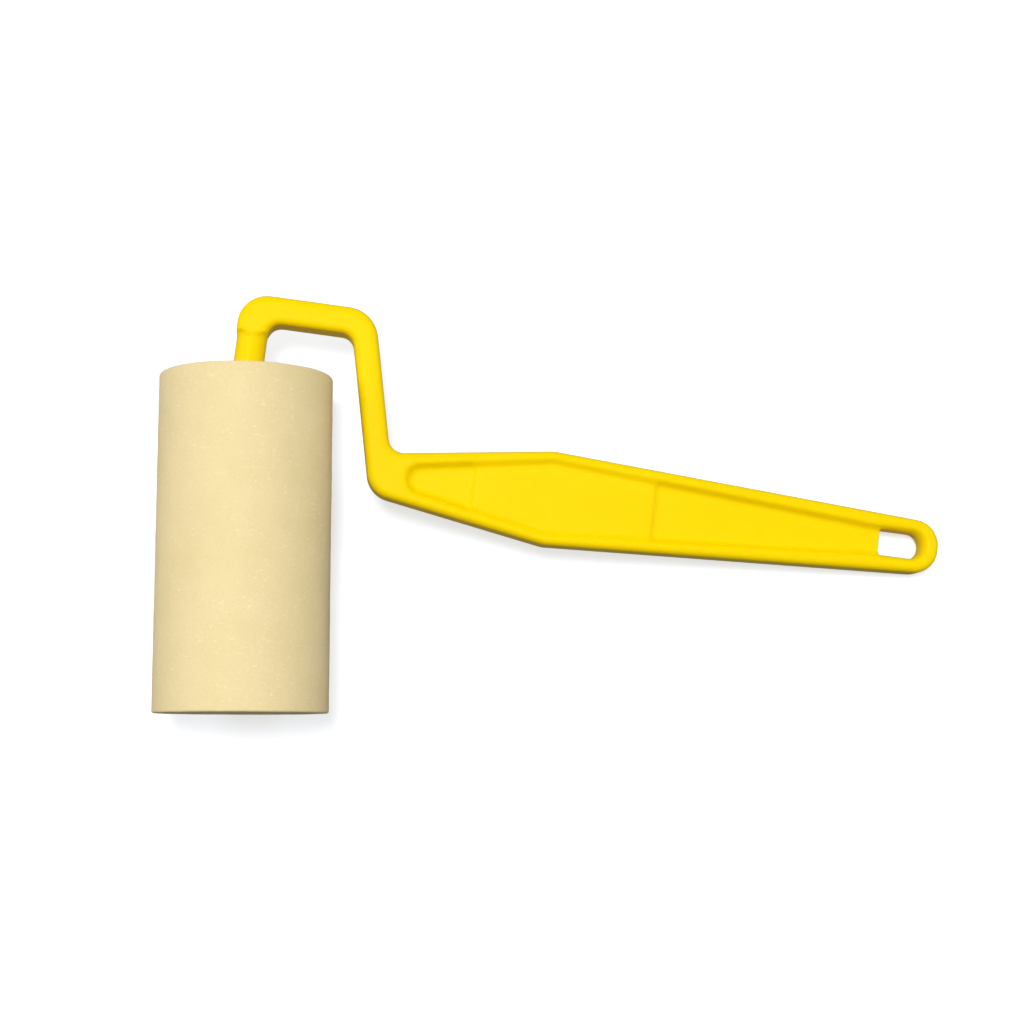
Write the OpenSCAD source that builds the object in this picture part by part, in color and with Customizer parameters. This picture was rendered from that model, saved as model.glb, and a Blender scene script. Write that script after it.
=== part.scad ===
// Small foam paint roller: a one-piece moulded frame (handle, crook arm and axle)
// carrying a foam sleeve that turns on two bearing bushes.
// It lies on a flat surface, resting on the sleeve and on the end of the handle.
// +X runs from the sleeve to the end of the handle, +Y along the axle to the crook arm.

/* [Sleeve] */
// Outer diameter of the foam
sleeve_d = 50; // [40:0.5:60]
// Length of the foam
sleeve_len = 97; // [78:0.5:120]
// Rounding of the foam's cut ends
sleeve_edge_r = 0.7; // [0.5:0.1:3]
// Outer diameter of the tube that the foam is bonded to
core_d = 22; // [18:0.5:27]
// Wall of the core tube
core_wall = 1.5; // [1:0.1:2.5]

/* [Axle and bearings] */
// Diameter of the bare stub between the arm and the sleeve
stub_d = 8.8; // [7:0.1:9.3]
// Diameter of the axle inside the sleeve
journal_d = 7.6; // [6.3:0.1:8.2]
// Diameter of the thinner end of the axle
spigot_d = 5.8; // [4.8:0.1:6.2]
// Radial running clearance of each bush on the axle
running_clearance = 0.05; // [0.02:0.01:0.1]
// End clearance between parts that turn past each other
end_clearance = 0.3; // [0.2:0.05:0.6]
// Thickness of the flanges that close the ends of the core tube
flange_t = 1.2; // [0.8:0.1:2]
// Length of each bush inside the core tube
bush_len = 11; // [8:0.5:14]
// Depth of the outer bush, from the sleeve's free end
outer_bush_depth = 16; // [14:0.5:20]
// Outer diameter of the push-on retainer
retainer_d = 11; // [9:0.5:13.5]
// Thickness of the push-on retainer
retainer_t = 2.4; // [1.5:0.1:3]
// Length of the end cap's skirt in the core tube
cap_skirt_len = 7; // [5:0.5:9]
// Wall of the end cap's skirt
cap_wall = 1.4; // [1:0.1:2]

/* [Crook arm] */
// Angle between the axle's line and the frame's own square axes
arm_lean = 6.75; // [0:0.25:10]
// Width of the bar across the end of the sleeve
bar_w = 8; // [6.5:0.1:9.6]
// Clear height between the sleeve's end and the bar
bar_gap = 16.2; // [13.5:0.1:20]
// Width of the arm above the stub, if its inner side stood off the stub as its outer side does
foot_w = 9.4; // [8.8:0.1:11.2]
// Height of the shoulder where the round stub meets the arm, above the sleeve's end
shoulder_h = 12.2; // [11:0.1:14.5]
// Width of the leg that runs down to the handle
leg_w = 7.2; // [6:0.1:8.6]
// Slant of the leg
leg_lean = 13; // [5:0.5:16]
// Clear gap between the side of the sleeve and the leg
leg_gap = 7.6; // [5:0.1:10]
// Outer corner radius over the axle
crook_r = 8.7; // [7:0.1:10]
// Outer corner radius at the top of the leg
knee_r = 9.5; // [7:0.1:11]
// Inner corner radius over the axle
crook_inner_r = 4; // [2.5:0.1:4.8]
// Inner corner radius at the top of the leg
knee_inner_r = 4; // [3:0.1:5]

/* [Handle] */
// Distance from the sleeve's end down to the handle's centre line
handle_drop = 24; // [19:0.5:29]
// Length of the handle from the neck to its end
handle_len = 164.1; // [135:0.1:197]
// Width at the belly
belly_w = 27.8; // [23:0.1:34]
// Distance from the neck to the belly
belly_run = 47.4; // [39:0.1:57]
// Width near the end
end_w = 15.1; // [14:0.1:18.5]
// Upper half width at the neck
neck_up = 7; // [5.8:0.1:8.5]
// Lower half width at the heel
heel_down = 5.3; // [4.4:0.1:6.4]
// Fillet between leg and handle
neck_r = 4.4; // [3:0.1:5.5]
// Corner radius of the heel
heel_r = 8; // [6:0.1:9.5]
// Corner radius of the belly
belly_r = 8; // [4:0.5:12]

/* [Plate and recesses] */
// Thickness of the moulding
plate_t = 9.5; // [8.8:0.1:11.4]
// Edge rounding of the moulding
edge_r = 1.5; // [1:0.1:2.2]
// Width of the raised rim round the recess
rim_w = 3.3; // [2.8:0.1:4.2]
// Depth of the two deep panels
deep_recess = 2.1; // [1.7:0.1:3]
// Depth of the middle panel
panel_recess = 1.3; // [0.8:0.1:1.6]
// Distance from the neck to the recess
recess_run = 7.1; // [5:0.1:8]
// Length of the deep panel next to the neck
front_panel_len = 17.4; // [15:0.1:22]
// Length of the middle panel
middle_panel_len = 54.5; // [45:0.5:66]
// Corner radius at the front of the recess
recess_r = 3.6; // [2:0.1:3.7]

/* [Hang hole] */
// Length of the hole
hole_len = 12.8; // [10:0.1:15]
// Width of the hole
hole_w = 7.5; // [6.3:0.1:9]
// Rim between the hole and the handle's end
hole_rim = 4.9; // [4.2:0.1:6.2]
// Corner radius of the hole's rounded end
hole_r = 3.6; // [2:0.1:3.7]

/* [Hidden] */

$fn = 96;
ARC_STEPS = 6;
EDGE_STEPS = 3;
FOAM_EDGE_STEPS = 4;
OVERLAP = 1;
// Least straight left between two corner arcs, and least excess of a corner radius over edge_r
LEAST_STRAIGHT = 0.3;
// Share of the handle end's width taken by each of its two corner arcs
END_ROUNDNESS = 0.49;

moulding_yellow = "#FDE717";
foam_cream = "#F0DEA5";
core_white = "#E9E6DC";
bush_white = "#DAD8D0";
retainer_grey = "#B9BCC0";

// Sleeve, with s counted along the axle from the sleeve's end at the arm
sleeve_r = sleeve_d / 2;
half_len = sleeve_len / 2;
core_r = core_d / 2;
core_bore_r = core_r - core_wall;
outer_bush_s = sleeve_len - outer_bush_depth - bush_len;
shoulder_s = outer_bush_s - end_clearance;
retainer_s = sleeve_len - outer_bush_depth + end_clearance;
spigot_end_s = retainer_s + retainer_t + OVERLAP;
stub_r = stub_d / 2;
journal_r = journal_d / 2;
spigot_r = spigot_d / 2;

// Frame outline in the frame's own axes: u along the handle, v along the stub,
// measured from the point where the axle enters the sleeve
bar_in_v = bar_gap;
bar_out_v = bar_gap + bar_w;
leg_slope = tan(leg_lean);
leg_width_u = leg_w / cos(leg_lean);
function leg_inner_u(v) = sleeve_r + leg_gap - v * leg_slope;
function leg_outer_u(v) = leg_inner_u(v) + leg_width_u;
axis_v = -handle_drop;
neck_v = axis_v + neck_up;
heel_v = axis_v - heel_down;
neck_u = leg_outer_u(neck_v);
heel_u = leg_inner_u(heel_v);
belly_u = neck_u + belly_run;
end_u = neck_u + handle_len;
end_r = END_ROUNDNESS * end_w;
foot_r = edge_r + LEAST_STRAIGHT;
foot_v = bar_in_v - crook_inner_r - foot_r - LEAST_STRAIGHT;

// Half widths of the handle above and below its centre line at u
function upper_half(u) =
    u < belly_u ? neck_up + (belly_w / 2 - neck_up) * (u - neck_u) / belly_run
                : belly_w / 2 + (end_w - belly_w) / 2 * (u - belly_u) / (end_u - belly_u);
function lower_half(u) =
    u < belly_u ? heel_down + (belly_w / 2 - heel_down) * (u - heel_u) / (belly_u - heel_u)
                : upper_half(u);

// The corners run down the inner side to the handle's end and back up the outer side,
// so the first corner faces the last across the frame, the second faces the last but one, ...
frame_corners = [
    [stub_r, foot_v, foot_r],
    [stub_r, bar_in_v, crook_inner_r],
    [leg_inner_u(bar_in_v), bar_in_v, knee_inner_r],
    [heel_u, heel_v, heel_r],
    [belly_u, axis_v - belly_w / 2, belly_r],
    [end_u, axis_v - end_w / 2, end_r],
    [end_u, axis_v + end_w / 2, end_r],
    [belly_u, axis_v + belly_w / 2, belly_r],
    [neck_u, neck_v, neck_r],
    [leg_outer_u(bar_out_v), bar_out_v, knee_r],
    [-foot_w / 2, bar_out_v, crook_r],
    [-foot_w / 2, foot_v, foot_r],
];

// Recess and hang hole
recess_u = neck_u + recess_run;
middle_u = recess_u + front_panel_len;
rear_u = middle_u + middle_panel_len;
hole_end_u = end_u - hole_rim;
hole_u = hole_end_u - hole_len;

recess_corners = [
    [recess_u, axis_v - lower_half(recess_u) + rim_w, recess_r],
    [belly_u, axis_v - belly_w / 2 + rim_w, belly_r],
    [hole_u + OVERLAP, axis_v - hole_w / 2, 0],
    [hole_u + OVERLAP, axis_v + hole_w / 2, 0],
    [belly_u, axis_v + belly_w / 2 - rim_w, belly_r],
    [recess_u, axis_v + upper_half(recess_u) - rim_w, recess_r],
];
hole_corners = [
    [hole_u, axis_v - hole_w / 2, 0],
    [hole_end_u, axis_v - hole_w / 2, hole_r],
    [hole_end_u, axis_v + hole_w / 2, hole_r],
    [hole_u, axis_v + hole_w / 2, 0],
];

// How it lies: the handle's end touches the surface that carries the sleeve
tip_x = (end_u - end_r) * cos(arm_lean) + axis_v * sin(arm_lean) + end_r;
tip_core_x = tip_x - edge_r;
tip_core_h = plate_t / 2 - edge_r;
rest_tilt = asin((sleeve_r - edge_r) / norm([tip_core_x, tip_core_h]))
    - atan2(tip_core_h, tip_core_x);
high_x = tip_core_x * cos(rest_tilt) + tip_core_h * sin(rest_tilt) + edge_r;
high_y = half_len + crook_r + (bar_out_v - crook_r) * cos(arm_lean)
    - (crook_r - foot_w / 2) * sin(arm_lean);
mid_x = (high_x - sleeve_r) / 2;
mid_y = (high_y - half_len) / 2;

// A rounded outline: each corner [u, v, radius] becomes an arc of [point, outward normal],
// going round anticlockwise
function turned(v, a) = [v.x * cos(a) - v.y * sin(a), v.x * sin(a) + v.y * cos(a)];
function heading(from, to) = (to - from) / norm(to - from);
function corner_arc(before, corner, after, r) =
    let (d_in = heading(before, corner), d_out = heading(corner, after))
    let (turn = atan2(cross(d_in, d_out), d_in * d_out), out = turned(d_in, -90))
    let (start = corner - r * tan(abs(turn) / 2) * d_in, side = turn > 0 ? r : -r)
    let (centre = start - side * out)
    [for (k = [0:r > 0 ? ARC_STEPS : 0])
        let (normal = turned(out, turn * k / ARC_STEPS))
        [centre + side * normal, normal]];
function xy(c) = [c.x, c.y];
function rounded(corners) =
    let (n = len(corners))
    [for (i = [0:n - 1])
        each corner_arc(xy(corners[(i + n - 1) % n]), xy(corners[i]), xy(corners[(i + 1) % n]),
                        corners[i][2])];

// The outline moved inwards by d
function inset(outline, d) = [for (p = outline) p[0] - d * p[1]];

// A plate of the given outline whose edges are rounded on both faces. Both faces are
// closed by a ladder of rungs, each from a point of the outline to the one that faces it
module rounded_plate(outline, t, r) {
    n = len(outline);
    low = [for (k = [0:EDGE_STEPS])
        let (a = 90 * k / EDGE_STEPS) [r * (1 - sin(a)), r * (1 - cos(a)) - t / 2]];
    high = [for (k = [EDGE_STEPS:-1:0]) [low[k][0], -low[k][1]]];
    rings = concat(low, high);
    top = (len(rings) - 1) * n;
    points = [for (ring = rings, q = inset(outline, ring[0])) [q.x, q.y, ring[1]]];
    sides = [for (k = [0:len(rings) - 2], i = [0:n - 1])
        let (next = (i + 1) % n)
        [k * n + i, (k + 1) * n + i, (k + 1) * n + next, k * n + next]];
    ladder = [for (i = [0:n / 2 - 2])
        each [[i, i + 1, n - 2 - i], [i, n - 2 - i, n - 1 - i]]];
    lid = [for (rung = ladder) [top + rung[2], top + rung[1], top + rung[0]]];
    polyhedron(points, concat(ladder, sides, lid), convexity = 6);
}

// Stands the whole object on the surface, centred over the origin
module lying_down() {
    translate([-mid_x, -mid_y, sleeve_r])
        rotate([0, rest_tilt, 0])
            children();
}

// From the sleeve's centre and axes to the frame's own axes
module frame_axes() {
    translate([0, half_len, 0])
        rotate([0, 0, -arm_lean])
            children();
}

// A solid of revolution on the axle's line, from s = a to s = b
module along_axle(a, b) {
    translate([0, half_len - a, 0])
        rotate([90, 0, 0])
            linear_extrude(b - a)
                children();
}

module recess_panel(from_u, to_u, depth) {
    for (side = [0, 1])
        mirror([0, 0, side])
            translate([0, 0, plate_t / 2 - depth])
                linear_extrude(depth + OVERLAP)
                    intersection() {
                        polygon(inset(rounded(recess_corners), 0));
                        translate([from_u, axis_v - belly_w / 2])
                            square([to_u - from_u, belly_w]);
                    }
}

module handle_and_arm() {
    difference() {
        rounded_plate(rounded(frame_corners), plate_t, edge_r);
        recess_panel(recess_u - OVERLAP, middle_u, deep_recess);
        recess_panel(middle_u, rear_u, panel_recess);
        recess_panel(rear_u, hole_u + 2 * OVERLAP, deep_recess);
        linear_extrude(2 * plate_t, center = true)
            polygon(inset(rounded(hole_corners), 0));
        turned_below_shoulder();
    }
}

// Leaves only the stub's round section between the arm's foot and the shoulder
module turned_below_shoulder() {
    translate([0, shoulder_h, 0])
        rotate([90, 0, 0])
            linear_extrude(shoulder_h - foot_v + OVERLAP)
                difference() {
                    circle(norm([foot_w, plate_t]) / 2);
                    circle(stub_r);
                }
}

// The stub stands end_clearance off the sleeve at its lower edge, and the axle proper
// leaves it square to the sleeve
stub_v = (end_clearance + stub_r * sin(arm_lean)) / cos(arm_lean);
stub_root_v = shoulder_h + OVERLAP;
journal_root_s = -(stub_v + OVERLAP);

module frame() {
    color(moulding_yellow)
        lying_down() {
            frame_axes() {
                handle_and_arm();
                translate([0, stub_v, 0])
                    rotate([-90, 0, 0])
                        cylinder(h = stub_root_v - stub_v, r = stub_r);
            }
            along_axle(journal_root_s, shoulder_s) circle(journal_r);
            along_axle(shoulder_s - OVERLAP, spigot_end_s) circle(spigot_r);
        }
}

module foam_sleeve() {
    edge = [for (k = [0:FOAM_EDGE_STEPS])
        let (a = 90 * k / FOAM_EDGE_STEPS)
        sleeve_edge_r * [1 - cos(a), 1 - sin(a)]];
    end_a = [for (p = edge) [sleeve_r - p.x, p.y]];
    end_b = [for (k = [FOAM_EDGE_STEPS:-1:0]) [sleeve_r - edge[k].x, sleeve_len - edge[k].y]];
    color(foam_cream)
        lying_down()
            translate([0, half_len, 0])
                rotate([90, 0, 0])
                    rotate_extrude()
                        polygon(concat(end_b, end_a, [[core_r, 0], [core_r, sleeve_len]]));
}

module core_tube() {
    color(core_white)
        lying_down()
            along_axle(flange_t, sleeve_len - flange_t)
                difference() {
                    circle(core_r);
                    circle(core_bore_r);
                }
}

// Flanged bush in the tube's end at the arm
module arm_side_bush() {
    bore_r = journal_r + running_clearance;
    color(bush_white)
        lying_down() {
            along_axle(0, flange_t)
                difference() {
                    circle(core_r);
                    circle(bore_r);
                }
            along_axle(flange_t, flange_t + bush_len)
                difference() {
                    circle(core_bore_r);
                    circle(bore_r);
                }
        }
}

// Plain bush deep in the tube, between the axle's shoulder and the retainer
module outer_bush() {
    color(bush_white)
        lying_down()
            along_axle(outer_bush_s, outer_bush_s + bush_len)
                difference() {
                    circle(core_bore_r);
                    circle(spigot_r + running_clearance);
                }
}

// Push-on collar gripping the axle's thin end
module axle_retainer() {
    color(retainer_grey)
        lying_down()
            along_axle(retainer_s, retainer_s + retainer_t)
                difference() {
                    circle(retainer_d / 2);
                    circle(spigot_r);
                }
}

// Closes the free end of the core tube
module end_cap() {
    cap_s = sleeve_len - flange_t;
    color(moulding_yellow)
        lying_down() {
            along_axle(cap_s, sleeve_len) circle(core_r);
            along_axle(cap_s - cap_skirt_len, cap_s)
                difference() {
                    circle(core_bore_r);
                    circle(core_bore_r - cap_wall);
                }
        }
}

frame();
foam_sleeve();
core_tube();
arm_side_bush();
outer_bush();
axle_retainer();
end_cap();
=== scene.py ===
# %% [markdown]
# # A small foam paint roller
# This lesson dresses a finished mechanical model in its real shapes and finishes.
# The tool is a one-piece yellow plastic frame whose axle carries a foam sleeve. The sleeve,
# its core tube, its bushes and its end cap turn together; the frame and the small steel
# retainer on the axle stay still. Everything is in metres and lies on a flat surface: +X runs
# along the handle, +Y along the axle to the crook arm, +Z up.

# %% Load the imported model
import math

import bmesh
import bpy
import numpy as np
from mathutils import Matrix, Vector


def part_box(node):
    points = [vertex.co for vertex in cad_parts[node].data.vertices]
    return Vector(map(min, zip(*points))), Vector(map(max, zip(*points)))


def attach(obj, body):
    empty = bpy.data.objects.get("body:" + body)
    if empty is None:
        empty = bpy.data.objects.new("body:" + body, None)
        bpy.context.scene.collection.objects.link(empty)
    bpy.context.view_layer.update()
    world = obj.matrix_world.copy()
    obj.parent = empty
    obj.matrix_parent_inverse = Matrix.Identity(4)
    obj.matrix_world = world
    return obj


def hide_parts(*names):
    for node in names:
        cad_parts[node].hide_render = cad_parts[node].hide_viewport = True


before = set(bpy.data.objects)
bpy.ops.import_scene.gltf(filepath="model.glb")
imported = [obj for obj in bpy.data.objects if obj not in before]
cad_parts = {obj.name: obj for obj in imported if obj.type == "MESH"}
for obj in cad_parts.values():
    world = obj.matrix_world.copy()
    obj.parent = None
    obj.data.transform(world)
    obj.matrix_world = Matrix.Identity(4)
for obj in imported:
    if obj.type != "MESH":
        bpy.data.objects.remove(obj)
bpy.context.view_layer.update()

MM = 0.001
print("nodes:", sorted(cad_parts))

# %% [markdown]
# ## Colours and nodes
# A maker gives a colour as sRGB hex, while Blender mixes light in linear values, so one
# function turns the one into the other. Nodes could be wired by hand in the editor. Here one
# small function adds any node with its settings and its links, so that a material reads from
# top to bottom in the order in which it is built up.

# %% Colours and nodes
def linear(hex_colour):
    """sRGB hex to the linear colour that Blender works with."""
    channels = [int(hex_colour[i:i + 2], 16) / 255 for i in (1, 3, 5)]
    return [c / 12.92 if c <= 0.04045 else ((c + 0.055) / 1.055) ** 2.4 for c in channels] + [1.0]


def add_node(tree, kind, inputs=None, **settings):
    """One node, with its settings, and its inputs as values or as links from other sockets."""
    node = tree.nodes.new(kind)
    for name, value in settings.items():
        setattr(node, name, value)
    for socket, value in (inputs or {}).items():
        if isinstance(value, bpy.types.NodeSocket):
            tree.links.new(value, node.inputs[socket])
        else:
            node.inputs[socket].default_value = value
    return node


def new_material(name, **sockets):
    """A material with one Principled shader. Values that are the same all over go on its sockets."""
    material = bpy.data.materials.new(name)
    material.use_nodes = True
    shader = material.node_tree.nodes["Principled BSDF"]
    for socket, value in sockets.items():
        shader.inputs[socket.replace("_", " ")].default_value = value
    return material, material.node_tree, shader


print("mid grey in linear light:", round(linear("#808080")[0], 3))

# %% [markdown]
# ## The light table
# Small goods are often shown on a sheet of opal acrylic lit from beneath, so that the surface
# reads as plain white and only the closest shadows are left. A lamp in its place couldn't
# take those shadows, so the sheet is a diffuse surface that also glows a little. It doesn't
# throw its glow back on the object, because on a light table black cards round the object
# take that bounce away.

# %% Light table
TABLE_HALF_WIDTH = 15.0
GLOW = 0.65
table_mesh = bpy.data.meshes.new("light_table")
table_mesh.from_pydata(
    [(x * TABLE_HALF_WIDTH, y * TABLE_HALF_WIDTH, 0) for x, y in ((-1, -1), (1, -1), (1, 1), (-1, 1))],
    [], [(0, 1, 2, 3)])
light_table = bpy.data.objects.new("light_table", table_mesh)
bpy.context.scene.collection.objects.link(light_table)
light_table.visible_diffuse = False
light_table.visible_glossy = False
opal_acrylic, _, _ = new_material(
    "opal_acrylic_sheet", Base_Color=linear("#B0B4BB"), Roughness=0.9, Specular_IOR_Level=0.1,
    Emission_Color=linear("#FFFFFF"), Emission_Strength=GLOW)
table_mesh.materials.append(opal_acrylic)
print("light table:", 2 * TABLE_HALF_WIDTH, "m wide")

# %% [markdown]
# ## Soft boxes and sky
# One soft box hangs nearly straight above and lights the upward faces evenly. Two larger,
# weaker ones at the sides shape the rounded edges and the sleeve. Square area lamps give the
# soft falloff of a cloth-fronted box, where a point lamp would draw hard shadows. A dim white
# sky fills in the rest.

# %% Soft boxes and sky
SOFT_BOXES = {  # name: (place, width in metres, power in watts)
    "top": ((-0.10, 0.16, 1.60), 0.35, 19.5),
    "left": ((-1.20, 0.35, 0.80), 0.80, 7.5),
    "right": ((1.20, 0.35, 0.80), 0.80, 6.5),
}
for name, (place, width, power) in SOFT_BOXES.items():
    lamp = bpy.data.lights.new(name, "AREA")
    lamp.shape = "SQUARE"
    lamp.size = width
    lamp.energy = power
    box = bpy.data.objects.new(name, lamp)
    box.location = place
    box.rotation_euler = (-Vector(place)).to_track_quat("-Z", "Y").to_euler()
    box.visible_camera = False
    bpy.context.scene.collection.objects.link(box)

SKY_STRENGTH = 0.25
sky = bpy.data.worlds.new("studio")
sky.use_nodes = True
sky_light = sky.node_tree.nodes["Background"].inputs
sky_light["Color"].default_value = linear("#FFFFFF")
sky_light["Strength"].default_value = SKY_STRENGTH
bpy.context.scene.world = sky
bpy.context.scene.view_settings.view_transform = "Standard"
print("soft boxes:", list(SOFT_BOXES), "sky:", SKY_STRENGTH)

# %% [markdown]
# ## The camera
# The camera looks down on the tool from nearly straight above, as catalogues show such goods.
# It stands a few degrees towards the sleeve's free end, so that a sliver of that end shows. A
# longish lens keeps the drawing almost flat, with only a slight taper along the sleeve.

# %% Camera
CAMERA_AIM = Vector((-0.0121, 0.00048, 0.0))
CAMERA_DISTANCE = 0.5566
CAMERA_LEAN = math.radians(7.2135)
lens = bpy.data.cameras.new("camera")
lens.lens = 65
lens.sensor_width = 36
camera = bpy.data.objects.new("camera", lens)
camera.location = CAMERA_AIM + CAMERA_DISTANCE * Vector((0, -math.sin(CAMERA_LEAN), math.cos(CAMERA_LEAN)))
camera.rotation_euler = (CAMERA_LEAN, 0, 0)
bpy.context.scene.collection.objects.link(camera)
bpy.context.scene.camera = camera
print("camera at", [round(c, 4) for c in camera.location])

# %% [markdown]
# ## Where things are
# The mechanical model says where the axle is. The frame is flat and square in its own axes:
# u along the handle, v along the bare stub, w through its thickness. It leans on the axle by a
# few degrees, because a loose sleeve hangs a little askew on its axle, and the whole tool
# tips down to the handle's end.

# %% Axes
sleeve_low, sleeve_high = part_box("foam_sleeve")
AXLE_CENTRE = (sleeve_low + sleeve_high) / 2
SLEEVE_R = (sleeve_high.z - sleeve_low.z) / 2 / MM
SLEEVE_LEN = (sleeve_high.y - sleeve_low.y) / MM
ARM_LEAN = math.radians(6.75)
REST_TILT = math.radians(5.7495)

LYING = Matrix.Translation(AXLE_CENTRE) @ Matrix.Rotation(REST_TILT, 4, "Y") @ Matrix.Scale(MM, 4)
AXLE_LINE = LYING @ Matrix.Translation((0, SLEEVE_LEN / 2, 0))   # starts at the sleeve's arm end
FRAME_AXES = AXLE_LINE @ Matrix.Rotation(-ARM_LEAN, 4, "Z")
print("sleeve", round(SLEEVE_LEN, 2), "mm long, radius", round(SLEEVE_R, 2), "mm")

# %% [markdown]
# ## The moulded frame
# The real frame is one shot of polypropylene: a plate about 9.5 mm thick with rounded edges,
# bent into a crook at one end, with a shallow tray in each face of the handle that leaves a
# beaded rim, and a hang hole. It could be boxed out and bevelled, but the tray's wall is
# curved and its floor steps, where bevels tangle. Instead each part is a stack of offset
# outlines, as a pattern maker would stack plates; the trays and the hole are cut out with
# Boolean modifiers, and a fine voxel remesh with a little smoothing runs every edge into the
# next with the small radius that a mould has.
#
# The names follow the frame from the sleeve outwards. The stub comes out of the sleeve and
# meets the foot of the crook at a shoulder, the bar runs across, and from the knee the leg
# comes down beside the sleeve. The handle starts between its neck above and its heel below,
# widens to the belly and tapers to its end.

# %% Frame sizes in mm, in the frame's own axes
PLATE_T = 9.5
EDGE_R, UNDER_EDGE_R = 2.0, 1.3   # the edges of the upper face are the rounder ones
STUB_D, JOURNAL_D, SPIGOT_D = 8.8, 7.6, 5.8
BAR_GAP, BAR_W = 16.2, 8.0
FOOT_W, FOOT_R, SHOULDER_V = 9.4, 2.3, 12.2
LEG_GAP, LEG_W, LEG_LEAN = 7.6, 7.2, math.radians(13)
CROOK_R, CROOK_INNER_R, KNEE_R, KNEE_INNER_R = 8.7, 4.0, 9.5, 4.0
AXIS_V = -24.0   # the handle's centre line
NECK_UP, HEEL_DOWN, NECK_R, HEEL_R = 7.0, 5.3, 4.4, 8.0
BELLY_W, BELLY_RUN, BELLY_R = 27.8, 47.4, 8.0
HANDLE_LEN, END_W = 164.1, 15.1
END_ROUNDNESS = 0.49   # of the end's width; at a half, the arcs of its two corners would touch
END_R = END_ROUNDNESS * END_W
LEAST_STRAIGHT = 0.3   # kept between the arcs of the foot and of the crook
print("handle tapers from", BELLY_W, "to", END_W, "mm")

# %% [markdown]
# ### The plate's outline
# The outline goes once round the frame, anticlockwise: from the foot of the stub up into the
# crook, down the leaning leg, along the handle's lower edge, round its end and back. Only the
# corners are stated, each with the radius of the real bend, so that a size can change without
# redrawing a curve.

# %% Corners of the frame
def leg_inner(v):
    """Where the leg's edge beside the sleeve is at height v."""
    return SLEEVE_R + LEG_GAP - v * math.tan(LEG_LEAN)


def leg_outer(v):
    """Where the leg's other edge is at height v."""
    return leg_inner(v) + LEG_W / math.cos(LEG_LEAN)


BAR_OUT = BAR_GAP + BAR_W
FOOT_V = BAR_GAP - CROOK_INNER_R - FOOT_R - LEAST_STRAIGHT
NECK_V, HEEL_V = AXIS_V + NECK_UP, AXIS_V - HEEL_DOWN
NECK_U, HEEL_U = leg_outer(NECK_V), leg_inner(HEEL_V)
BELLY_U, END_U = NECK_U + BELLY_RUN, NECK_U + HANDLE_LEN
FRAME_CORNERS = [  # (u, v, corner radius)
    (STUB_D / 2, FOOT_V, FOOT_R),
    (STUB_D / 2, BAR_GAP, CROOK_INNER_R),
    (leg_inner(BAR_GAP), BAR_GAP, KNEE_INNER_R),
    (HEEL_U, HEEL_V, HEEL_R),
    (BELLY_U, AXIS_V - BELLY_W / 2, BELLY_R),
    (END_U, AXIS_V - END_W / 2, END_R),
    (END_U, AXIS_V + END_W / 2, END_R),
    (BELLY_U, AXIS_V + BELLY_W / 2, BELLY_R),
    (NECK_U, NECK_V, NECK_R),
    (leg_outer(BAR_OUT), BAR_OUT, KNEE_R),
    (-FOOT_W / 2, BAR_OUT, CROOK_R),
    (-FOOT_W / 2, FOOT_V, FOOT_R),
]
print("handle's end at u =", round(END_U, 1), "mm")

# %% [markdown]
# ### Rounded outlines
# A curve object could round the corners, but to grow or shrink an outline evenly, each of its
# points needs its outward direction. An arc's points have theirs from the arc's centre, and a
# straight edge lies between the ends of two arcs, so the arcs alone are enough.

# %% Rounded outlines
ARC_STEPS = 14


def corner_arc(before, corner, after, radius):
    """The points of one rounded corner, each with its outward direction."""
    way_in, way_out = (corner - before).normalized(), (after - corner).normalized()
    turn = math.atan2(way_in.x * way_out.y - way_in.y * way_out.x, way_in.dot(way_out))
    outward = Vector((way_in.y, -way_in.x))
    start = corner - radius * math.tan(abs(turn) / 2) * way_in
    side = math.copysign(radius, turn)
    centre = start - side * outward
    arc = []
    for k in range(ARC_STEPS + 1):
        direction = outward.copy()
        direction.rotate(Matrix.Rotation(turn * k / ARC_STEPS, 2))
        arc.append((centre + side * direction, direction))
    return arc


def rounded(corners):
    """The whole outline of a list of corners, each given as (u, v, radius)."""
    points = [Vector(corner[:2]) for corner in corners]
    outline = []
    for i, corner in enumerate(corners):
        outline += corner_arc(points[i - 1], points[i], points[(i + 1) % len(points)], corner[2])
    return outline


frame_outline = rounded(FRAME_CORNERS)
print("frame outline:", len(frame_outline), "points")

# %% [markdown]
# ### The plate
# A stack joins copies of one outline, each set at its height and moved outwards or inwards. The
# plate's edge is a quarter circle in such steps. A bevel modifier could round the edge as
# well, but it can fold over itself in a tight bend. The stack asks only that each corner's
# radius is larger than the edge's.

# %% Stack of outlines, and the plate
def stack(name, outline, steps):
    """A solid whose cross-section at each height w is the outline moved outwards by d:
    steps is a list of (d, w) from the bottom to the top."""
    shape = bmesh.new()
    rings = [[shape.verts.new((*(point + d * out), w)) for point, out in outline] for d, w in steps]
    for low, high in zip(rings, rings[1:]):
        for i in range(len(outline)):
            shape.faces.new((low[i - 1], low[i], high[i], high[i - 1]))
    shape.faces.new(rings[-1])
    shape.faces.new(rings[0][::-1])
    mesh = bpy.data.meshes.new(name)
    shape.to_mesh(mesh)
    shape.free()
    solid = bpy.data.objects.new(name, mesh)
    bpy.context.scene.collection.objects.link(solid)
    return solid


EDGE_STEPS = 8
quarter = [math.pi / 2 * k / EDGE_STEPS for k in range(EDGE_STEPS + 1)]
plate_steps = []
for side, radius, angles in ((-1, UNDER_EDGE_R, quarter), (1, EDGE_R, reversed(quarter))):
    plate_steps += [(-radius * (1 - math.sin(a)), side * (PLATE_T / 2 - radius * (1 - math.cos(a))))
                    for a in angles]
plate = stack("plate", frame_outline, plate_steps)
print("plate:", len(plate.data.vertices), "vertices in", len(plate_steps), "steps")

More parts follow.
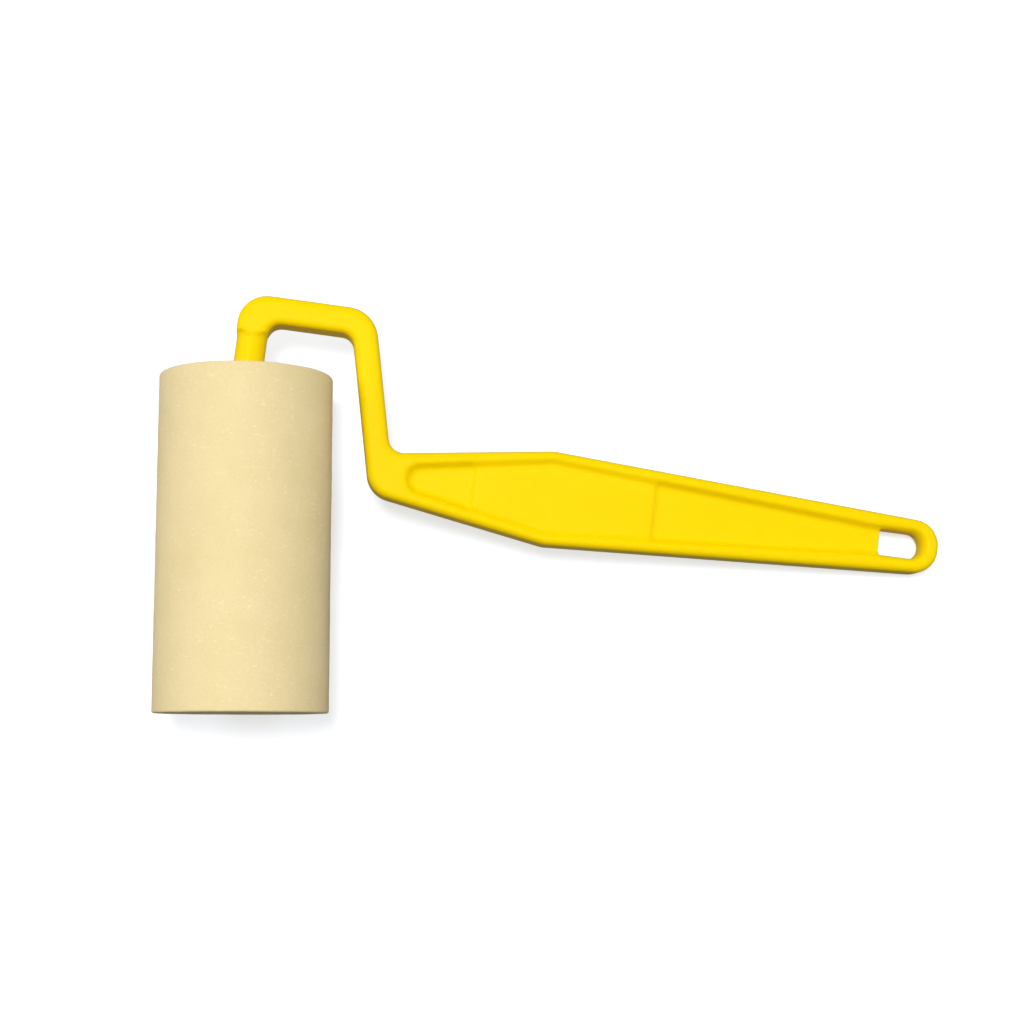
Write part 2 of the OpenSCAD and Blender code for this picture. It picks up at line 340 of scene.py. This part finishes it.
# %% [markdown]
# ### The trays
# The tray in each face has a shallow floor, sunk deeper at its two ends. Its rim is a soft
# bead: the floor sweeps up into it in an S-shaped curve about 2.4 mm wide. So each cutter is
# a plug whose side follows that curve, and the deeper plugs cut a soft step into the shallow
# floor by themselves. The floor follows the handle's edges up to the belly, and from there it
# narrows to the hole.

# %% Outline of a tray
RIM_W, FRONT_RIM_W = 4.3, 5.3   # at the belly and at the arm
DEEP, SHALLOW = 2.1, 1.3
BEAD_W, BEAD_IN, BEAD_STEPS = 2.4, 1.0, 10
RECESS_R, SHARP_R = 2.6, 0.4
RECESS_RUN, FRONT_FLOOR_LEN, MIDDLE_FLOOR_LEN = 7.1, 17.4, 54.5
RECESS_U = NECK_U + RECESS_RUN
MIDDLE_U = RECESS_U + FRONT_FLOOR_LEN
REAR_U = MIDDLE_U + MIDDLE_FLOOR_LEN
HOLE_W, HOLE_R, HOLE_LEN, HOLE_RIM = 7.5, 3.6, 12.8, 4.9
HOLE_END_U = END_U - HOLE_RIM
HOLE_U = HOLE_END_U - HOLE_LEN


def upper_half(u):
    """Half the handle's width above its centre line."""
    if u < BELLY_U:
        return NECK_UP + (BELLY_W / 2 - NECK_UP) * (u - NECK_U) / BELLY_RUN
    return BELLY_W / 2 + (END_W - BELLY_W) / 2 * (u - BELLY_U) / (END_U - BELLY_U)


def lower_half(u):
    """Half the handle's width below its centre line."""
    if u < BELLY_U:
        return HEEL_DOWN + (BELLY_W / 2 - HEEL_DOWN) * (u - HEEL_U) / (BELLY_U - HEEL_U)
    return upper_half(u)


def tray_half(u, half):
    """Half the tray floor's width. The rim is widest at the arm, and the floor narrows to the hole."""
    if u < BELLY_U:
        return half(u) - RIM_W - (FRONT_RIM_W - RIM_W) * (BELLY_U - u) / (BELLY_U - RECESS_U)
    whole = BELLY_W / 2 - RIM_W
    return whole + (HOLE_W / 2 - BEAD_IN - whole) * (u - BELLY_U) / (HOLE_U - BELLY_U)


def tray_corners(start, end, start_r, end_r):
    """The corners of the tray floor between two stations along the handle."""
    stations = [(start, start_r)] + [(BELLY_U, BELLY_R)] * (start < BELLY_U < end) + [(end, end_r)]
    low = [(u, AXIS_V - tray_half(u, lower_half), r) for u, r in stations]
    high = [(u, AXIS_V + tray_half(u, upper_half), r) for u, r in reversed(stations)]
    return low + high


print("tray from u =", round(RECESS_U, 1), "to", round(HOLE_U, 1), "mm")

# %% Tray cutters
PAST = 1.0        # how far a part runs into the next one that it joins or cuts
OVERSHOOT = 0.5   # how far a cutter stands out of the face
HAIR = 0.03       # keeps the sides of two cutters from lying in the same surface
FACE_W = PLATE_T / 2
TRAYS = {  # name: (corners of the floor, depth, width of the bead's curve)
    "shallow_floor": (tray_corners(RECESS_U, HOLE_U + PAST, RECESS_R, SHARP_R), SHALLOW, BEAD_W),
    "front_floor": (tray_corners(RECESS_U, MIDDLE_U, RECESS_R, SHARP_R), DEEP, BEAD_W + HAIR),
    "rear_floor": (tray_corners(REAR_U, HOLE_U + PAST, SHARP_R, SHARP_R), DEEP, BEAD_W + HAIR),
}


def mirrored(steps):
    """The steps of the same cutter in the under face."""
    return [(d, -w) for d, w in reversed(steps)]


climb = [k / BEAD_STEPS for k in range(BEAD_STEPS + 1)]
cutters = []
for name, (corners, depth, width) in TRAYS.items():
    steps = [(width * t, FACE_W - depth * (1 - t * t * (3 - 2 * t))) for t in climb]
    steps.append((width + OVERSHOOT, FACE_W + OVERSHOOT))
    floor_outline = rounded(corners)
    cutters.append(stack("upper_" + name, floor_outline, steps))
    cutters.append(stack("lower_" + name, floor_outline, mirrored(steps)))
print("tray cutters:", [cutter.name for cutter in cutters])

# %% [markdown]
# ### The hang hole
# The hole is a D: square where the tray ends, round towards the handle's end. In the real
# moulding its edges are so round that the loop about it is nearly a bent rod. A hole cut
# straight and bevelled afterwards would take the bevel into the tray as well, so the cutter
# itself flares at both faces.

# %% Hole cutter
HOLE_FLARE, HOLE_FLARE_DEPTH = 2.0, 3.4
hole_outline = rounded([
    (HOLE_U, AXIS_V - HOLE_W / 2, SHARP_R), (HOLE_END_U, AXIS_V - HOLE_W / 2, HOLE_R),
    (HOLE_END_U, AXIS_V + HOLE_W / 2, HOLE_R), (HOLE_U, AXIS_V + HOLE_W / 2, SHARP_R)])
hole_steps = [(HOLE_FLARE * (1 - math.cos(a)), FACE_W - HOLE_FLARE_DEPTH * (1 - math.sin(a)))
              for a in quarter]
hole_steps.append((HOLE_FLARE + OVERSHOOT, FACE_W + OVERSHOOT))
cutters.append(stack("hole", hole_outline, mirrored(hole_steps) + hole_steps))
print("hang hole:", HOLE_LEN, "by", HOLE_W, "mm")

# %% [markdown]
# ### The shoulder
# Near the sleeve the plate gives way to a bare round stub. The shoulder between them could be
# sculpted, but a lathe makes it directly: the cutter is a ring whose bore is the stub, and
# the ring's end curves out so that the shoulder is soft. The same lathe function turns the
# sleeve, the cap and the bush further down.

# %% Lathe, and the shoulder's cutter
def turned(name, profile, segments, axes):
    """A solid of revolution. The profile is a closed loop of (radius, s) in mm, with s counted
    along the -Y direction of the axes that it is turned in."""
    angles = np.linspace(0, 2 * math.pi, segments, endpoint=False)
    radius, s = np.array(profile).T
    grid = np.stack([np.outer(np.cos(angles), radius), np.tile(-s, (segments, 1)),
                     np.outer(np.sin(angles), radius)], axis=-1)
    count = len(profile)
    here = np.arange(segments * count).reshape(segments, count)
    beside, along = np.roll(here, -1, axis=0), np.roll(here, -1, axis=1)
    faces = np.stack([here, along, np.roll(beside, -1, axis=1), beside], axis=-1).reshape(-1, 4)
    mesh = bpy.data.meshes.new(name)
    mesh.from_pydata(grid.reshape(-1, 3).tolist(), [], faces.tolist())
    mesh.transform(axes)
    shape = bmesh.new()
    shape.from_mesh(mesh)
    bmesh.ops.recalc_face_normals(shape, faces=shape.faces)
    shape.to_mesh(mesh)
    shape.free()
    mesh.shade_smooth()
    piece = bpy.data.objects.new(name, mesh)
    bpy.context.scene.collection.objects.link(piece)
    return piece


AXLE_STEPS = 72
RING_R = 7.0
SHOULDER_RAMP = (   # (how far along the stub from the shoulder's edge, how far out), towards the bar
    (-1.0, 0.0), (-0.4, 0.05), (0.1, 0.25), (0.7, 0.8), (1.4, 2.4))
ramp = [(STUB_D / 2 + out, -SHOULDER_V - along) for along, out in reversed(SHOULDER_RAMP)]
ring_bottom = PAST - FOOT_V
cutters.append(turned(
    "below_shoulder", [(STUB_D / 2, ring_bottom), (RING_R, ring_bottom), (RING_R, ramp[0][1])] + ramp,
    AXLE_STEPS, Matrix.Identity(4)))
print("shoulder at v =", SHOULDER_V, "mm")

# %% [markdown]
# ### Cutting
# Each cutter is taken away by its own Boolean modifier, in the order in which it was made.
# The exact solver is slower than the fast one, and the safer choice where the side of one
# plug runs close to another's.

# %% Cut the plate
def finished_mesh(piece):
    """The piece's mesh with its modifiers applied."""
    graph = bpy.context.evaluated_depsgraph_get()
    return bpy.data.meshes.new_from_object(piece.evaluated_get(graph))


for cutter in cutters:
    cut = plate.modifiers.new("cut " + cutter.name, "BOOLEAN")
    cut.operation = "DIFFERENCE"
    cut.solver = "EXACT"
    cut.object = cutter
cut_plate = finished_mesh(plate)
for leftover in [plate] + cutters:
    bpy.data.objects.remove(leftover)
print("cut plate:", len(cut_plate.polygons), "faces")

# %% [markdown]
# ### The axle
# The stub is turned round and leaves the sleeve's line by the frame's lean; the axle inside
# the sleeve is true to the sleeve. It steps down once, so that the outer bush has a shoulder to
# run against. Overlapping closed rods are enough, because the remesh that follows keeps only
# their common skin.

# %% Axle rods
END_CLEARANCE = 0.3
OUTER_BUSH_DEPTH, BUSH_LEN = 16.0, 11.0
RETAINER_T = 2.4
shoulder_s = SLEEVE_LEN - OUTER_BUSH_DEPTH - BUSH_LEN - END_CLEARANCE
spigot_end_s = SLEEVE_LEN - OUTER_BUSH_DEPTH + END_CLEARANCE + RETAINER_T + PAST
stub_v = (END_CLEARANCE + STUB_D / 2 * math.sin(ARM_LEAN)) / math.cos(ARM_LEAN)
AXLE_DIRECTION = Vector((math.sin(ARM_LEAN), -math.cos(ARM_LEAN), 0))


def rod(shape, start, end, diameter):
    """A closed round bar between two points."""
    bar = end - start
    place = (Matrix.Translation((start + end) / 2)
             @ bar.to_track_quat("Z", "Y").to_matrix().to_4x4())
    bmesh.ops.create_cone(shape, cap_ends=True, segments=AXLE_STEPS, radius1=diameter / 2,
                          radius2=diameter / 2, depth=bar.length, matrix=place)


shape = bmesh.new()
shape.from_mesh(cut_plate)
rod(shape, Vector((0, stub_v, 0)), Vector((0, SHOULDER_V + PAST, 0)), STUB_D)
rod(shape, -(stub_v + PAST) * AXLE_DIRECTION, shoulder_s * AXLE_DIRECTION, JOURNAL_D)
rod(shape, (shoulder_s - PAST) * AXLE_DIRECTION, spigot_end_s * AXLE_DIRECTION, SPIGOT_D)
frame_mesh = bpy.data.meshes.new("moulded_frame")
shape.to_mesh(frame_mesh)
shape.free()
frame_mesh.transform(Matrix.Scale(MM, 4))
print("axle reaches", round(spigot_end_s, 1), "mm into the sleeve")

# %% [markdown]
# ### One moulding
# A voxel remesh lays one even skin over the plate and the rods, and a few passes of smoothing
# run every edge into the next with the small radius of a mould. Finer voxels would need many
# more faces for the same look. The remesh is done before the frame is tilted to where it
# lies, so that its grid runs along the plate's flat faces.

# %% Remesh, smooth and lay down
VOXEL = 0.44
SMOOTH_FACTOR, SMOOTH_PASSES = 0.5, 5
moulded_frame = bpy.data.objects.new("moulded_frame", frame_mesh)
bpy.context.scene.collection.objects.link(moulded_frame)
remesh = moulded_frame.modifiers.new("one skin", "REMESH")
remesh.mode = "VOXEL"
remesh.voxel_size = VOXEL * MM
remesh.use_smooth_shade = True
soften = moulded_frame.modifiers.new("mould radii", "SMOOTH")
soften.factor = SMOOTH_FACTOR
soften.iterations = SMOOTH_PASSES
skin = finished_mesh(moulded_frame)
moulded_frame.modifiers.clear()
moulded_frame.data = skin
skin.transform(FRAME_AXES @ Matrix.Scale(1 / MM, 4))
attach(moulded_frame, "frame")
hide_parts("frame")
print("moulded frame:", len(skin.polygons), "faces")

# %% [markdown]
# ### Yellow polypropylene
# The granulate is coloured through, so the yellow is even, with only the faintest drift where
# the melt flowed. The plastic lets a little light in, which warms its shaded edges. The
# mould's faces were polished, then lightly blasted, which gives a satin gloss with a skin
# texture far finer than a millimetre; it is drawn at 0.6 mm so that it shows at all.

# %% Polypropylene material
MIX_FACTOR, MIX_A, MIX_B, MIX_COLOUR = 0, 6, 7, 2   # the Mix node's colour sockets
SHINE_THROUGH = (1.0, 0.6, 0.08)   # how far red, green and blue light spreads, as shares of the depth
SHINE_DEPTH = 1.3


def per_mm(size):
    """The texture scale, in repeats a metre, at which one feature is size millimetres."""
    return 1 / (size * MM)


def polypropylene(name, colour, deeper_colour, sheen, smooth, rough, gloss, glow):
    """Injection-moulded plastic, such as polypropylene: coloured through, satin, slightly uneven
    in gloss."""
    material, tree, shader = new_material(
        name, IOR=1.49, Specular_IOR_Level=gloss, Specular_Tint=linear(sheen), Subsurface_Weight=glow,
        Subsurface_Radius=SHINE_THROUGH, Subsurface_Scale=SHINE_DEPTH * MM)
    place = add_node(tree, "ShaderNodeTexCoord").outputs["Object"]
    flow = add_node(tree, "ShaderNodeTexNoise", {"Vector": place, "Scale": per_mm(30), "Detail": 3.0})
    tint = add_node(tree, "ShaderNodeMix", {
        MIX_FACTOR: flow.outputs["Fac"], MIX_A: linear(colour), MIX_B: linear(deeper_colour)},
        data_type="RGBA")
    tree.links.new(tint.outputs[MIX_COLOUR], shader.inputs["Base Color"])
    wipe = add_node(tree, "ShaderNodeTexNoise", {"Vector": place, "Scale": per_mm(7), "Detail": 4.0})
    satin = add_node(tree, "ShaderNodeMapRange", {
        "Value": wipe.outputs["Fac"], "To Min": smooth, "To Max": rough})
    tree.links.new(satin.outputs["Result"], shader.inputs["Roughness"])
    grain = add_node(tree, "ShaderNodeTexNoise", {"Vector": place, "Scale": per_mm(0.6), "Detail": 2.0})
    skin_bump = add_node(tree, "ShaderNodeBump", {
        "Height": grain.outputs["Fac"], "Strength": 0.25, "Distance": 0.02 * MM})
    tree.links.new(skin_bump.outputs["Normal"], shader.inputs["Normal"])
    return material


yellow_polypropylene = polypropylene(
    "yellow_moulded_polypropylene", "#EBCB00", "#E7C600", "#FFE98C", 0.38, 0.48, 0.14, 0.3)
moulded_frame.data.materials.append(yellow_polypropylene)
print("frame finish:", moulded_frame.data.materials.keys())

# %% [markdown]
# ## The foam sleeve
# The sleeve is open-cell polyurethane foam, cut to a cylinder with a hot wire or a blade and
# bonded to its core tube. It could be sculpted, but a fine turned grid keeps it true to its
# axle. Its points are closer together than the cells are wide, so that the cells can be pressed
# into it afterwards.

# %% Turn the sleeve
CORE_R = 11.0
FOAM_EDGE_R, FOAM_EDGE_STEPS = 0.7, 4
FOAM_STEP, BORE_STEP = 0.56, 4.0
FOAM_SEGMENTS = 280


def evenly(start, end, step):
    """Points from start to end about step apart, without the last."""
    count = max(1, round(math.dist(start, end) / step))
    return [tuple(np.array(start) + (np.array(end) - start) * k / count) for k in range(count)]


edge_arc = [math.pi / 2 * k / FOAM_EDGE_STEPS for k in range(FOAM_EDGE_STEPS + 1)]
near_edge = [(SLEEVE_R - FOAM_EDGE_R * (1 - math.sin(a)), FOAM_EDGE_R * (1 - math.cos(a)))
             for a in edge_arc]
far_edge = [(r, SLEEVE_LEN - s) for r, s in reversed(near_edge)]
foam_profile = evenly((CORE_R, 0), near_edge[0], FOAM_STEP) + near_edge[:-1]
foam_profile += evenly(near_edge[-1], far_edge[0], FOAM_STEP) + far_edge[:-1]
foam_profile += evenly(far_edge[-1], (CORE_R, SLEEVE_LEN), FOAM_STEP)
foam_profile += evenly((CORE_R, SLEEVE_LEN), (CORE_R, 0), BORE_STEP)
foam = turned("foam_cover", foam_profile, FOAM_SEGMENTS, AXLE_LINE)
print("foam grid:", FOAM_SEGMENTS, "by", len(foam_profile))

# %% [markdown]
# ### The cut skin
# The cut surface is pressed in by two procedural textures: cells of about 1 mm that the cut has
# opened, over a slow waviness from the blade. A vertex group holds how much each point takes
# part. It is nothing on the bore, which sits on the tube, and grows to the full depth within
# the first millimetre.

# %% Press the cells and waves into the skin
CUT_TEXTURES = {  # name: (kind, size of a feature in mm, depth in mm)
    "opened cells": ("VORONOI", 1.2, 0.06),
    "blade waves": ("CLOUDS", 7.0, 0.16),
}
points = np.empty(len(foam.data.vertices) * 3)
foam.data.vertices.foreach_get("co", points)
off_axle = np.hypot(*(points.reshape(-1, 3) - np.array(AXLE_CENTRE))[:, [0, 2]].T) / MM
weights = np.clip(np.round(off_axle - CORE_R, 1), 0, 1)
cut_skin = foam.vertex_groups.new(name="cut skin")
for weight in np.unique(weights):
    cut_skin.add(np.flatnonzero(np.isclose(weights, weight)).tolist(), float(weight), "REPLACE")
for name, (kind, size, depth) in CUT_TEXTURES.items():
    texture = bpy.data.textures.new(name, kind)
    texture.noise_scale = size * MM
    press = foam.modifiers.new(name, "DISPLACE")
    press.texture = texture
    press.strength = depth * MM
    press.mid_level = 1.0   # inwards only, so that the sleeve keeps its diameter
    press.vertex_group = cut_skin.name
foam_mesh = finished_mesh(foam)
foam.modifiers.clear()
foam.data = foam_mesh
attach(foam, "roller")
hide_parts("foam_sleeve")
print("foam cover:", len(foam_mesh.polygons), "faces")

# %% [markdown]
# ### Open-cell polyurethane foam
# Fresh ether foam is a warm cream. Its surface is all small open cells, so it has no gloss.
# Light caught on the cell walls is painted on as pale specks, and the shade in the openings is
# painted as faint darker dots. The painted specks are drawn out round the sleeve, the way the
# blade went, and gather in patches from a slow noise. Real cells are 0.3 to 0.6 mm; they are
# drawn up to 1 mm so that they show.

# %% Foam colour: a slow drift, with painted shade in the cell openings
foam_material, tree, shader = new_material(
    "open_cell_polyurethane_foam", Roughness=0.95, Specular_IOR_Level=0.15, Sheen_Weight=0.08,
    Sheen_Roughness=0.6)
place = add_node(tree, "ShaderNodeTexCoord").outputs["Object"]
drift = add_node(tree, "ShaderNodeTexNoise", {
    "Vector": place, "Scale": per_mm(14), "Detail": 4.0, "Roughness": 0.6})
body = add_node(tree, "ShaderNodeMix", {
    MIX_FACTOR: drift.outputs["Fac"], MIX_A: linear("#E0CE9F"), MIX_B: linear("#D2C08D")},
    data_type="RGBA").outputs[MIX_COLOUR]
cells = add_node(tree, "ShaderNodeTexVoronoi", {"Vector": place, "Scale": per_mm(0.9)}, feature="F1")
# Painted shade: the cell openings are darkened towards #BCA673, standing in for the shade inside the
# pores.
pore_shade = add_node(tree, "ShaderNodeMapRange", {
    "Value": cells.outputs["Distance"], "From Min": 0.0, "From Max": 0.55, "To Min": 0.14, "To Max": 0.0})
pore_shaded = add_node(tree, "ShaderNodeMix", {
    MIX_FACTOR: pore_shade.outputs["Result"], MIX_A: body, MIX_B: linear("#BCA673")},
    data_type="RGBA").outputs[MIX_COLOUR]
print("foam colour nodes:", len(tree.nodes))

# %% [markdown]
# ### Painted glints and cell relief
# A noise that is stretched round the sleeve places painted glints, pale specks of light caught
# on the cell walls, and a slower noise says how strongly they show from patch to patch. The
# cells' own pattern also drives a slight bump, because their relief is too fine for the mesh.

# %% Foam's painted glints, relief and assignment
ROUND_THE_SLEEVE = (0.55, 1.0, 0.55)   # makes a speck 1.8 times as long round the sleeve as along it
# Painted glints: pale specks of #F6E9C4 stand in for light caught on the cell walls.
glint_stretch = add_node(tree, "ShaderNodeVectorMath", {0: place, 1: ROUND_THE_SLEEVE}, operation="MULTIPLY")
glint_noise = add_node(tree, "ShaderNodeTexNoise", {
    "Vector": glint_stretch.outputs["Vector"], "Scale": per_mm(0.8), "Detail": 2.0})
glint_patches = add_node(tree, "ShaderNodeTexNoise", {"Vector": place, "Scale": per_mm(9), "Detail": 2.0})
glint_strength = add_node(tree, "ShaderNodeMapRange", {
    "Value": glint_patches.outputs["Fac"], "From Min": 0.4, "From Max": 0.65, "To Min": 0.1, "To Max": 0.4})
painted_glints = add_node(tree, "ShaderNodeMapRange", {
    "Value": glint_noise.outputs["Fac"], "From Min": 0.6, "From Max": 0.74, "To Min": 0.0,
    "To Max": glint_strength.outputs["Result"]})
with_painted_glints = add_node(tree, "ShaderNodeMix", {
    MIX_FACTOR: painted_glints.outputs["Result"], MIX_A: pore_shaded, MIX_B: linear("#F6E9C4")},
    data_type="RGBA").outputs[MIX_COLOUR]
tree.links.new(with_painted_glints, shader.inputs["Base Color"])
cell_bump = add_node(tree, "ShaderNodeBump", {
    "Height": cells.outputs["Distance"], "Strength": 0.25, "Distance": 0.08 * MM})
tree.links.new(cell_bump.outputs["Normal"], shader.inputs["Normal"])
foam.data.materials.append(foam_material)
print("foam finish:", foam.data.materials.keys())

# %% [markdown]
# ## The cap in the sleeve's free end
# A small moulding is pressed into the core tube, and its thin flange closes the tube's end. The
# plain solid is a disc with a skirt. A lathe profile gives it what that lacks: eased edges, a
# shallow dish that keeps the wall even, and the mark of the injection point in the middle.

# %% End cap
FLANGE_T = 1.2
TUBE_BORE_R = 9.5
EASE = 0.3
CHORD_SHARE = 0.29   # how far in the middle of a rounded corner lies, as a share of its reach
LATHE_SEGMENTS = 96


def eased(profile):
    """Cuts each corner of a closed profile with two short chords."""
    smooth = []
    for i, corner in enumerate(profile):
        corner = np.array(corner)
        before = np.array(profile[i - 1]) - corner
        after = np.array(profile[(i + 1) % len(profile)]) - corner
        reach = min(EASE, np.linalg.norm(before) / 3, np.linalg.norm(after) / 3)
        into, out = before / np.linalg.norm(before), after / np.linalg.norm(after)
        smooth += [corner + reach * into, corner + CHORD_SHARE * reach * (into + out),
                   corner + reach * out]
    return smooth


CENTRE = 0.02   # a lathe profile stops just short of the axis
CAP_SKIRT, CAP_WALL = 7.0, 1.4
DISH_R, DISH_FLOOR_R, DISH_DEPTH = 8.2, 7.6, 0.45
MARK_FOOT_R, MARK_R, MARK_DEPTH = 1.6, 1.3, 0.15
cap_face = SLEEVE_LEN
cap_back, skirt_end = cap_face - FLANGE_T, cap_face - FLANGE_T - CAP_SKIRT
cap_profile = [
    (CENTRE, cap_back), (TUBE_BORE_R - CAP_WALL, cap_back), (TUBE_BORE_R - CAP_WALL, skirt_end),
    (TUBE_BORE_R, skirt_end), (TUBE_BORE_R, cap_back), (CORE_R, cap_back), (CORE_R, cap_face),
    (DISH_R, cap_face), (DISH_FLOOR_R, cap_face - DISH_DEPTH), (MARK_FOOT_R, cap_face - DISH_DEPTH),
    (MARK_R, cap_face - MARK_DEPTH), (CENTRE, cap_face - MARK_DEPTH)]
cap = turned("end_cap_moulding", eased(cap_profile), LATHE_SEGMENTS, AXLE_LINE)
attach(cap, "roller")
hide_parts("end_cap")
cap.data.materials.append(yellow_polypropylene)
print("cap:", len(cap.data.polygons), "faces")

# %% [markdown]
# ## The bush at the arm
# The bush is a flanged bearing in the tube's other end, and it turns on the axle. A shallow
# ring groove in its flange keeps the moulding's wall even. It is turned in the same way as the
# cap.

# %% Arm-side bush
BUSH_BORE_R = JOURNAL_D / 2 + 0.05   # the running gap that the mechanical model has
GROOVE_INNER_R, GROOVE_OUTER_R, GROOVE_DRAFT, GROOVE_DEPTH = 6.0, 9.4, 0.4, 0.4
bush_end = FLANGE_T + BUSH_LEN
bush_profile = [
    (BUSH_BORE_R, 0), (GROOVE_INNER_R, 0), (GROOVE_INNER_R + GROOVE_DRAFT, GROOVE_DEPTH),
    (GROOVE_OUTER_R - GROOVE_DRAFT, GROOVE_DEPTH), (GROOVE_OUTER_R, 0), (CORE_R, 0),
    (CORE_R, FLANGE_T), (TUBE_BORE_R, FLANGE_T), (TUBE_BORE_R, bush_end), (BUSH_BORE_R, bush_end)]
bush = turned("arm_side_bush_moulding", eased(bush_profile), LATHE_SEGMENTS, AXLE_LINE)
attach(bush, "roller")
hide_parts("arm_side_bush")
print("bush:", len(bush.data.polygons), "faces")

# %% [markdown]
# ### Natural acetal
# The bushes are natural acetal, a waxy off-white that slides well without grease. It is moulded
# as the frame is and a little glossier, so the same function makes it with its own colours.

# %% Acetal
acetal = polypropylene("natural_acetal", "#DAD8CF", "#D2CFC4", "#FFFFFF", 0.30, 0.42, 0.5, 0.1)
bush.data.materials.append(acetal)
print("bush finish:", bush.data.materials.keys())

# %% [markdown]
# ### Extruded polypropylene
# The core tube is extruded, and the die leaves faint lines along it. They come from a noise
# that is drawn out along the tube, which tints the surface, changes its gloss and gives it a
# slight relief.

# %% Tube material
ALONG_THE_TUBE = (1, 0.02, 1)
tube_material, tree, shader = new_material("extruded_white_polypropylene", IOR=1.49)
place = add_node(tree, "ShaderNodeTexCoord").outputs["Object"]
stretched = add_node(tree, "ShaderNodeMapping", {"Vector": place, "Scale": ALONG_THE_TUBE})
die_lines = add_node(tree, "ShaderNodeTexNoise", {
    "Vector": stretched.outputs["Vector"], "Scale": per_mm(0.8), "Detail": 3.0})
tone = add_node(tree, "ShaderNodeMix", {
    MIX_FACTOR: die_lines.outputs["Fac"], MIX_A: linear("#EAE7DD"), MIX_B: linear("#DEDACD")},
    data_type="RGBA").outputs[MIX_COLOUR]
tree.links.new(tone, shader.inputs["Base Color"])
tube_gloss = add_node(tree, "ShaderNodeMapRange", {
    "Value": die_lines.outputs["Fac"], "To Min": 0.42, "To Max": 0.55})
tree.links.new(tube_gloss.outputs["Result"], shader.inputs["Roughness"])
tube_bump = add_node(tree, "ShaderNodeBump", {
    "Height": die_lines.outputs["Fac"], "Strength": 0.4, "Distance": 0.03 * MM})
tree.links.new(tube_bump.outputs["Normal"], shader.inputs["Normal"])
print("tube material nodes:", len(tree.nodes))

# %% [markdown]
# ### Spring steel
# The retainer is a washer stamped from spring steel strip. It is bare metal with a fairly even
# gloss, and fine lines round its rim from rolling and from being pushed on.

# %% Steel, and the finishes of the plain solids
ROUND_THE_RIM = (1, 30, 1)
steel, tree, shader = new_material("stamped_spring_steel", Metallic=1.0)
place = add_node(tree, "ShaderNodeTexCoord").outputs["Object"]
rolled = add_node(tree, "ShaderNodeMapping", {"Vector": place, "Scale": ROUND_THE_RIM})
strip_lines = add_node(tree, "ShaderNodeTexNoise", {
    "Vector": rolled.outputs["Vector"], "Scale": per_mm(2.0), "Detail": 3.0})
steel_tone = add_node(tree, "ShaderNodeMix", {
    MIX_FACTOR: strip_lines.outputs["Fac"], MIX_A: linear("#B9BCC0"), MIX_B: linear("#9DA1A6")},
    data_type="RGBA").outputs[MIX_COLOUR]
tree.links.new(steel_tone, shader.inputs["Base Color"])
steel_gloss = add_node(tree, "ShaderNodeMapRange", {
    "Value": strip_lines.outputs["Fac"], "To Min": 0.26, "To Max": 0.40})
tree.links.new(steel_gloss.outputs["Result"], shader.inputs["Roughness"])

PLAIN_FINISHES = {"core_tube": tube_material, "outer_bush": acetal, "axle_retainer": steel}
for node_name, finish in PLAIN_FINISHES.items():
    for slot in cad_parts[node_name].material_slots:
        slot.material = finish
print("plain solids:", {node: finish.name for node, finish in PLAIN_FINISHES.items()})
